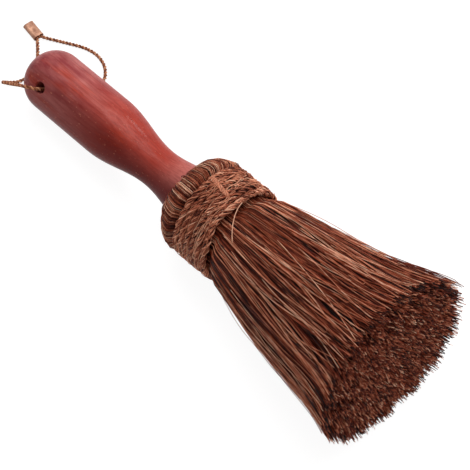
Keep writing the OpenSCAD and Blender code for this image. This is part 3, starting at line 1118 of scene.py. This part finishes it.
@dataclass(frozen=True)
class Fan:
    """Shape of the head from the rope's front to the tips.

    Sizes are in millimetres and angles in radians. A bunch is the number of waves round the
    brush, the length of one along it, its turn with each millimetre of depth and its start.
    """

    brush: BrushFrame
    tufts: int = 8
    tuft_gap: float = math.radians(0.8)
    front_x: float = 162.0
    front_r: float = 26.2
    core_share: float = 0.545
    belly: float = 0.6
    flare: float = 2.6
    flare_power: float = 2.4
    bow: float = 1.3
    worn_angle: float = math.radians(80.0)
    worn_reach: float = 0.7
    worn_depth: float = 4.0
    raised: Span = (-4.0, 3.0)
    ridge_count: int = 46
    ridge_rise: float = 0.25
    fine_ridge_count: int = 71
    fine_ridge_rise: float = 0.2
    bunch_strength: float = 0.62
    bunch_onset: float = 2.2
    bunches: tuple[tuple[float, float, float, float], ...] = (
        (13, 150, -0.4, 3.0), (23, 120, 0.7, 0.6), (37, 90, -1.1, 2.1),
        (59, 75, 1.6, 4.0), (97, 60, -2.2, 1.3), (151, 48, 0.9, 0.2),
    )

    def share(self, x: np.ndarray) -> np.ndarray:
        """How far x lies on the way from the front, at 0, to the tips, at 1."""
        return (x - self.front_x) / (self.brush.tip_x - self.front_x)

    def radius(self, x: np.ndarray) -> np.ndarray:
        """Radius of the fan, which swells a little and then flares to the tips.

        Args:
            x: Distances along the axis.

        Returns:
            The radius at each distance.
        """
        share = np.maximum(self.share(x), 0.0)
        kept = np.minimum(share, 1.0)
        swell = self.belly * np.sin(math.pi * kept)
        drawn_in = self.flare * np.sin(math.pi * kept**self.flare_power)
        return self.front_r + (self.brush.fan_r - self.front_r) * share - (drawn_in - swell)

    def freedom(self, x: np.ndarray) -> np.ndarray:
        """How free the fibres are of the binding, from 0 in the rope to 1 at the tips."""
        start = self.front_x - 4
        return np.clip((x - start) / (self.brush.tip_x - start), 0.0, 1.0)

    def bunching(self, x: np.ndarray, angle: np.ndarray, depth: np.ndarray) -> np.ndarray:
        """Turn in radians that draws fibres into bunches with gaps between them.

        Args:
            x: Distances along the axis.
            angle: Angles of the fibres.
            depth: Depths under the surface.

        Returns:
            The turn at each point.
        """
        total = 0.0
        for number, reach, layer, phase in self.bunches:
            swing = number * angle + FULL_TURN * x / reach + layer * depth + phase
            total = total + self.bunch_strength / number * np.sin(swing)
        return total * np.minimum(1.0, self.bunch_onset * self.freedom(x))

    def ridges(self, x: np.ndarray, angle: np.ndarray) -> tuple[np.ndarray, np.ndarray]:
        """Ridges of the folded shoulder.

        Args:
            x: Distances along the axis.
            angle: Angles of the fibres.

        Returns:
            The turn in radians and the rise in millimetres at each point.
        """
        held = np.clip(1.0 - self.freedom(x) * 3, 0.0, 1.0)
        broad = self.ridge_count * angle + 0.8 * np.sin(9 * angle) + 0.05 * (x - 124)
        fine = self.fine_ridge_count * angle + 1.1 * np.sin(5 * angle)
        turn = 0.4 / self.ridge_count * np.sin(broad) + 0.3 / self.fine_ridge_count * np.sin(fine)
        rise = self.ridge_rise * np.cos(broad) + self.fine_ridge_rise * np.cos(fine)
        return turn * held, rise * held

    def tips(self, rng: np.random.Generator, angle: np.ndarray, share: np.ndarray) -> np.ndarray:
        """Where fibres end along the axis.

        Args:
            rng: Source of scatter.
            angle: Angles of the fibres.
            share: Shares of the fan's radius.

        Returns:
            The distance of each tip from the handle's free end.
        """
        clumps = 1.2 * np.sin(17 * angle + 5 * share) + 1.1 * np.sin(41 * angle - 9 * share)
        scatter = rng.normal(0.0, 1.0, angle.shape)
        raised = np.clip(clumps * share + scatter, *self.raised)
        worn = self.worn_depth * share**6 * np.exp(-(((angle - self.worn_angle) / self.worn_reach) ** 2))
        return self.brush.tip_x - self.brush.crown * share**2 + raised - worn


@dataclass
class FibreBundle:
    """Palm fibres of the head that make one piece. Sizes are in millimetres."""

    fan: Fan
    seed: int
    thin: float = 0.12
    thick: float = 0.3
    tone_scatter: float = 0.2
    pale_share: float = 0.06
    pale_tones: Span = (0.75, 1.0)
    dark_share: float = 0.3
    dark_tones: Span = (0.05, 0.2)
    inner_thicker: float = 1.15
    inner_tone: float = 0.58
    inner_palest: float = 0.74
    inner_rings: tuple[float, ...] = (0.0, 0.18, 0.36, 0.54, 0.7, 0.84, 0.92, 0.965, 1.0)
    inner_tangle: tuple[float, ...] = (0.0, 0.0, 0.0, 0.0, 0.0, 0.0, 0.35, 0.7, 1.1)
    floor_gap: float = 0.05

    def __post_init__(self) -> None:
        """Starts the bundle's mesh and its source of scatter."""
        self.strands = StrandMesh()
        self.rng = np.random.default_rng(self.seed)

    def each(self, count: int, low: float, high: float) -> np.ndarray:
        """A column of random values between two limits."""
        return self.rng.uniform(low, high, (count, 1))

    def place(
        self, x: np.ndarray, radius: Values, angle: np.ndarray, thickness: Values, tones: Values,
        turned: bool = True,
    ) -> None:
        """Lays strands in the scene and keeps them on the floor.

        Args:
            x: Distances along the axis.
            radius: Radii about the axis.
            angle: Angles about the axis in radians.
            thickness: Radius of the strands.
            tones: Shade of the strands.
            turned: Whether each strand gets its own turn about itself.
        """
        fan, brush = self.fan, self.fan.brush
        y = radius * np.cos(angle) - fan.bow * np.sin(math.pi * np.clip(fan.share(x), 0.0, 1.0))
        z = radius * np.sin(angle)
        z = np.where(x > fan.front_x, brush.pressed(z, fan.radius(x)), z)
        points = brush.lay(x, y, z)
        points[..., 2] = np.maximum(points[..., 2], (thickness + self.floor_gap) * MM)
        across = np.stack([np.zeros_like(angle), -np.sin(angle), np.cos(angle)], axis=-1)
        turns = self.rng.uniform(0, 6, len(points)) if turned else 0.0
        self.strands.add(points, thickness * MM, brush.turn(across), tones, turns)

    def shades(self, count: int, middle: float) -> np.ndarray:
        """Scattered shades of fibres, with some pale and many dark ones.

        Args:
            count: Number of fibres.
            middle: Middle shade.

        Returns:
            A column of shades.
        """
        tone = self.rng.normal(middle, self.tone_scatter, (count, 1))
        pale = self.each(count, 0.0, 1.0) < self.pale_share
        dark = self.each(count, 0.0, 1.0) < self.dark_share
        tone = np.where(pale, self.each(count, *self.pale_tones), tone)
        tone = np.where(dark, self.each(count, *self.dark_tones), tone)
        return np.clip(tone, 0.0, 1.0)

    def sways(self, x: np.ndarray, size: float) -> np.ndarray:
        """Slow waves of each strand in millimetres, growing towards its tip.

        Args:
            x: Distances along the axis, as strands by rings.
            size: Size of the waves at the tips.

        Returns:
            The offsets, of the same shape as x.
        """
        count = len(x)
        total = np.zeros_like(x)
        for low, high, part in ((70.0, 130.0, 1.0), (28.0, 60.0, 0.4)):
            reach = self.each(count, low, high)
            amount = self.rng.normal(0.0, part * size, (count, 1))
            total += amount * np.sin(FULL_TURN * x / reach + self.each(count, 0, FULL_TURN))
        return total * self.fan.freedom(x)

    def inner(self, base: np.ndarray, share: np.ndarray) -> None:
        """Adds fibres that only show at their tips and between the outer ones. Away from their tips they
        carry painted shade.

        Args:
            base: Column of their angles in radians.
            share: Column of the shares of the fan's radius at which they run.
        """
        fan, rng = self.fan, self.rng
        start = fan.front_x - 3
        x = start + (fan.tips(rng, base, share) - start) * np.array(self.inner_rings)
        tangle = np.array(self.inner_tangle)
        radius = share * fan.radius(x) + self.sways(x, 0.6) + tangle * rng.normal(0.0, 0.6, x.shape)
        angle = base + fan.bunching(x, base, (1 - share) * fan.front_r)
        aside = self.sways(x, 0.6) + tangle * rng.normal(0.0, 0.8, x.shape)
        angle = angle + aside / np.maximum(radius, 4.0)
        thickness = self.each(len(x), self.thin * self.inner_thicker, self.thick * self.inner_thicker)
        # Painted shade: inner fibres darken away from their tips, under the outer ones.
        painted_inner_shade = ease((fan.brush.tip_x - 5.0 - x) / 8.0)
        lit = 1.0 + tangle * rng.normal(0.0, 0.2, x.shape)
        tones = np.minimum(self.shades(len(x), self.inner_tone), self.inner_palest)
        self.place(x, np.abs(radius), angle, thickness, tones * (1 - 0.65 * painted_inner_shade) * lit)


@dataclass
class Core(FibreBundle):
    """The bundle of fibres inside the skirt, bound round the handle's tang."""

    count: int = 3000
    tang_r: float = 8.5
    bound_x: Span = (124.5, 163.0)
    bound_r: float = 1.3
    bound_layers: tuple[tuple[int, float], ...] = ((24, 1.6), (30, 3.8))

    def bound(self) -> None:
        """Adds thick dark strands in layers where the binding holds the core, as painted shade inside the
        binding.
        """
        x = np.linspace(*self.bound_x, 5)
        for count, out in self.bound_layers:
            angle = np.linspace(0, FULL_TURN, count, endpoint=False)[:, None]
            # Painted near black: painted shade under the skirt, round the tang.
            self.place(x, self.tang_r + out, angle, self.bound_r, tones=0.05, turned=False)

    def build(self) -> bpy.types.Object:
        """Makes the core.

        Returns:
            The piece that stands for it.
        """
        base = self.each(self.count, 0, FULL_TURN)
        share = self.fan.core_share * np.sqrt(self.each(self.count, 0.0, 1.0))
        self.inner(base, share)
        self.bound()
        return self.strands.build("core_bundle_fibres", "core_bundle")


@dataclass
class Tuft(FibreBundle):
    """One tuft of the skirt, folded at the neck, held by the rope and fanned out.

    Angles are in radians. A fold is a row of distances along the axis, each with its radius.
    """

    number: int = 1
    skin_count: int = 290
    skin_depth: float = 4.0
    skin_tone: float = 0.6
    fuzz: float = 0.12
    astray: float = math.radians(2.6)
    wild: float = math.radians(7.0)
    wild_share: float = 0.25
    inner_count: int = 640
    inner_reach: float = 0.9
    stray_count: int = 20
    curl_count: int = 2
    shade_filler_count: int = 14
    shade_filler_r: float = 1.5
    far_number: int = 3
    flyaway_count: int = 26
    most_shift: float = 0.8
    fold_end: float = 129.0
    fold_give: float = 8.0
    outer_fold: tuple[Span, ...] = (
        (122.5, 14.9), (118.6, 14.9), (117.4, 15.6), (117.2, 16.9), (118.3, 19.4), (120.0, 21.8),
        (122.3, 24.0), (125.4, 25.5), (128.0, 26.3), (129.4, 25.9), (131.2, 23.2), (133.0, 22.2),
        (144.0, 22.0), (156.0, 22.3), (158.8, 24.6), (162.0, 26.2),
    )
    inner_fold: tuple[Span, ...] = (
        (123.5, 15.7), (122.0, 15.9), (121.2, 16.6), (121.0, 17.6), (121.7, 19.0), (123.0, 20.4),
        (124.8, 21.4), (127.0, 22.0), (128.6, 22.2), (129.8, 21.7), (131.4, 19.8), (133.2, 18.7),
        (144.0, 18.5), (156.0, 18.8), (158.8, 20.6), (162.0, 22.2),
    )

    def __post_init__(self) -> None:
        """Works out where the tuft lies round the brush and how far its fold is shifted."""
        super().__post_init__()
        whole = FULL_TURN / self.fan.tufts
        self.width = whole - self.fan.tuft_gap
        self.start = self.number * whole - whole / 2 - math.pi / 2
        self.shift = self.rng.uniform(-self.most_shift, self.most_shift)

    def slid(self, x: np.ndarray, shift: Values) -> np.ndarray:
        """Distances along the axis once the fold's part of them is shifted."""
        return x + np.clip((self.fold_end - x) / self.fold_give, 0.0, 1.0) * shift

    def skin(self) -> None:
        """Adds the outer fibres, which fold at the neck and run to the tips."""
        fan, rng, count = self.fan, self.rng, self.skin_count
        base = self.start + self.width * (np.arange(count)[:, None] + self.each(count, 0.0, 1.0)) / count
        sunk = self.each(count, 0.0, 1.0) ** 1.25
        depth = self.skin_depth * sunk
        fold = (1 - sunk[..., None]) * np.array(self.outer_fold) + sunk[..., None] * np.array(self.inner_fold)
        fold_x = self.slid(fold[..., 0], self.shift + rng.normal(0.0, 0.35, (count, 1)))
        end = fan.tips(rng, base, 1.0 - depth / fan.front_r)
        fan_x = fan.front_x + (end - fan.front_x) * np.linspace(0.0, 1.0, 13)[1:]
        x = np.concatenate([fold_x, fan_x], axis=1)
        radius = np.concatenate([fold[..., 1], fan.radius(fan_x) - depth], axis=1)
        turn, rise = fan.ridges(x, base)
        drift = rng.normal(0.0, self.astray, (count, 1)) * fan.freedom(x)
        wild = (self.each(count, 0.0, 1.0) < self.wild_share) * rng.normal(0.0, self.wild, (count, 1))
        angle = base + fan.bunching(x, base, depth) + turn + drift + wild * fan.freedom(x)
        angle = angle + self.sways(x, 0.5) / radius
        radius = radius + rise + self.sways(x, 0.35)
        radius = radius + rng.normal(0.0, self.fuzz, x.shape) * np.clip((x - 120) / 6, 0, 1)
        bound = 0.75 + 0.25 * ease((x - 150.0) / 15.0)
        thickness = self.each(count, self.thin, self.thick) * bound
        waves = 0.06 * np.sin(x / self.each(count, 4.0, 12.0) + self.each(count, 0, 6))
        # Lighter over the fold, and painted shade where the fold turns under towards the neck.
        folded = 0.16 * np.clip((131 - x) / 3, 0, 1) - 0.2 * np.clip((122 - x) / 4, 0, 1)
        # Painted shade: fibres that lie deeper under the surface are darker, by half their sunk share.
        tones = self.shades(count, self.skin_tone) + waves - 0.5 * sunk + folded
        self.place(x, radius, angle, thickness, tones)

    def strays(self) -> None:
        """Adds thin pale fibres that stand off the surface and cross the others."""
        fan, count = self.fan, self.stray_count
        base = self.start + self.width * self.each(count, 0.0, 1.0)
        first = fan.front_x + self.each(count, -3.0, 60.0)
        end = fan.brush.tip_x + self.each(count, -5.0, 1.0)
        last = np.minimum(first + self.each(count, 25.0, 110.0), end)
        share = np.linspace(0.0, 1.0, 14)
        x = first + (last - first) * share
        lift = self.each(count, 0.2, 1.5) * np.sin(math.pi * np.minimum(share, 0.8))
        drift = self.rng.normal(0.0, self.wild, (count, 1)) * ((x - first) / 60.0)
        angle = base + drift + self.sways(x, 0.9) / fan.radius(x)
        thickness = self.each(count, 0.12, 0.2)
        self.place(x, fan.radius(x) + 0.2 + lift, angle, thickness, self.each(count, 0.5, 0.95))

    def curls(self) -> None:
        """Adds fibres that turn back on themselves near the tips."""
        count = self.curl_count
        share = np.linspace(0.0, 1.0, 20)
        reach = np.where(share < 0.5, 30.0, 9.0)
        x = self.each(count, 236.0, 256.0) - reach * (2 * share - 1) ** 2
        bend = math.radians(3.0) * ease((share - 0.35) / 0.3)
        angle = self.start + self.width * self.each(count, 0.1, 0.8) + bend
        radius = self.fan.radius(x) + 0.3 + 0.9 * share
        self.place(x, radius, angle, thickness=0.2, tones=0.75, turned=False)

    def flyaways(self) -> None:
        """Adds the long fibres that stand off the fan's upper far edge."""
        fan, count = self.fan, self.flyaway_count
        share = np.linspace(0.0, 1.0, 14)
        first = self.each(count, 214.0, 234.0)
        x = first + (fan.brush.tip_x + self.each(count, -4.0, 3.0) - first) * share
        angle = np.radians(self.each(count, 30.0, 54.0) - self.each(count, 0.0, 20.0) * share)
        bowed = np.sin(math.pi * np.minimum(0.85 * share, 0.85))
        radius = fan.radius(x) + self.each(count, 0.3, 3.4) * bowed
        thickness = self.each(count, 0.16, 0.32) * (1.0 - 0.4 * share)
        self.place(x, radius, angle, thickness, self.each(count, 0.04, 0.45))

    def shade_filler(self) -> None:
        """Adds thick dark strands that fill the tuft under its outer fibres, as painted shade inside the
        fold.
        """
        count = self.shade_filler_count
        angle = self.start + self.width * (np.arange(count)[:, None] + 0.5) / count
        fold = np.array(self.inner_fold)
        x = self.slid(fold[:, 0], self.shift) + 1.0
        # Nearly black strands: painted shade for the inside of the tuft.
        self.place(x, fold[:, 1] - 0.4, angle, self.shade_filler_r, tones=0.03, turned=False)

    def build(self) -> bpy.types.Object:
        """Makes the tuft.

        Returns:
            The piece that stands for it.
        """
        self.skin()
        base = self.start + self.width * self.each(self.inner_count, 0.0, 1.0)
        low = self.fan.core_share**2
        share = np.sqrt(low + (self.inner_reach**2 - low) * self.each(self.inner_count, 0.0, 1.0))
        self.inner(base, share)
        self.strays()
        self.curls()
        if self.number == self.far_number:
            self.flyaways()
        self.shade_filler()
        return self.strands.build(f"skirt_tuft_{self.number}_fibres", f"skirt_tuft_{self.number}")


def dress(piece: bpy.types.Object, material: bpy.types.Material, slot: Slot) -> None:
    """Gives a piece one material.

    Args:
        piece: The finished piece.
        material: Its material.
        slot: Its slot, which is not used.
    """
    piece.data.materials.clear()
    piece.data.materials.append(material)


def triangles(piece: bpy.types.Object) -> int:
    """Number of triangles in a piece's mesh."""
    piece.data.calc_loop_triangles()
    return len(piece.data.loop_triangles)


def main() -> None:
    """Builds the studio and every piece of the brush, and logs each piece's triangle count."""
    logging.basicConfig(level=logging.INFO, format="%(message)s")
    brush = BrushFrame()
    fan = Fan(brush)
    Studio().build()

    ferrule = Ferrule().build()
    cord = HangingCord().build(ferrule)
    core = Core(fan, seed=55).build()
    tufts = [Tuft(fan, seed=100 + number, number=number).build() for number in range(1, fan.tufts + 1)]
    rope = FibreRope(brush).build()

    palm = PalmFibre("palm fibre", brush)
    twisted = PalmFibre(
        "twisted cord", brush, dark=srgb(112, 60, 40), middle=srgb(172, 108, 76), pale=srgb(216, 158, 120),
        palest=srgb(238, 192, 156), roughness=0.7,
    )
    wound = PalmFibre(
        "fibre rope", brush, dark=srgb(112, 46, 28), middle=srgb(176, 98, 70), pale=srgb(226, 152, 118),
        palest=srgb(248, 196, 164),
    )
    dressed = (
        (Slot.CORD, twisted, [cord]),
        (Slot.FERRULE, CopperTube(), [ferrule]),
        (Slot.WOOD, LacqueredWood(brush), [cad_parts["handle"]]),
        (Slot.FIBRE, palm, [core, *tufts]),
        (Slot.ROPE, wound, [rope]),
        (Slot.BINDING, PalmFibre("binding cord", brush, roughness=0.7), [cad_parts["inner_binding"]]),
    )
    for slot, finish, pieces in dressed:
        material = finish.material()
        for piece in pieces:
            dress(piece, material, slot)
            log.info("%s: %d triangles, %s", piece.name, triangles(piece), slot.value)


if __name__ == "__main__":
    main()
